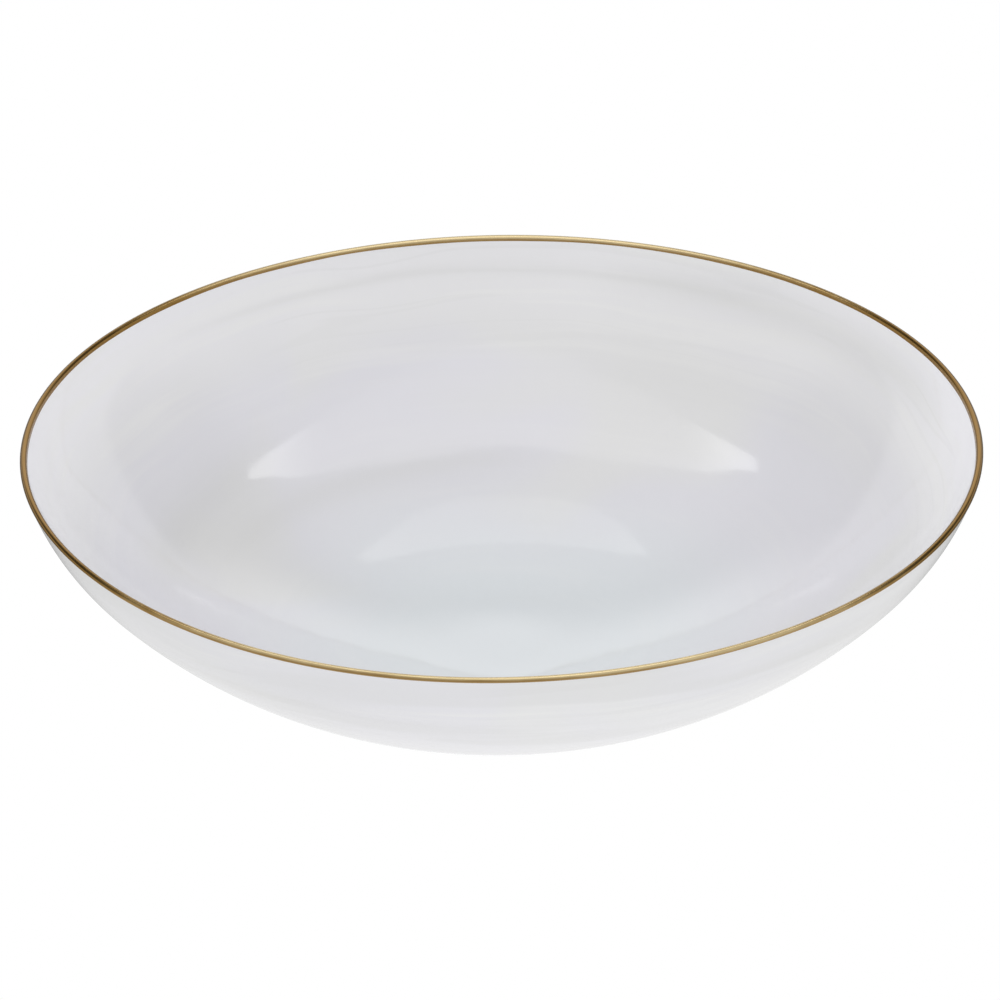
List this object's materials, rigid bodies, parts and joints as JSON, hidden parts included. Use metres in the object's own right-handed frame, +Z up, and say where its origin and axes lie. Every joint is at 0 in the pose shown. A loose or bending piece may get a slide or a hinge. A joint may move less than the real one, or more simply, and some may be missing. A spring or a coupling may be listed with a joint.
{
  "type": "serving bowl",
  "caption": "Wide, shallow round serving bowl in glossy cloudy white with a thin gilded lip and a flat base.",
  "frame": {"origin": "on the bowl's axis, at the plane of the ring that it rests on", "axes": "+Z up along the bowl's axis; X and Y are any two directions across it, because the bowl is round"},
  "size_m": [0.318, 0.318, 0.0831],
  "materials": {
    "white_body": "fine matt white bisque, bare only on the ring that the bowl rests on",
    "inner_glaze": "high gloss white with faint cloudy swirls",
    "outer_glaze": "high gloss white with faint cloudy swirls",
    "base_glaze": "high gloss white",
    "gilding": "burnished gold lustre, brushed on by hand"
  },
  "bodies": {
    "root": {"bowl_body": "white_body", "inner_glaze": "inner_glaze", "outer_glaze": "outer_glaze", "base_glaze": "base_glaze", "gold_rim": "gilding"}
  },
  "joints": []
}
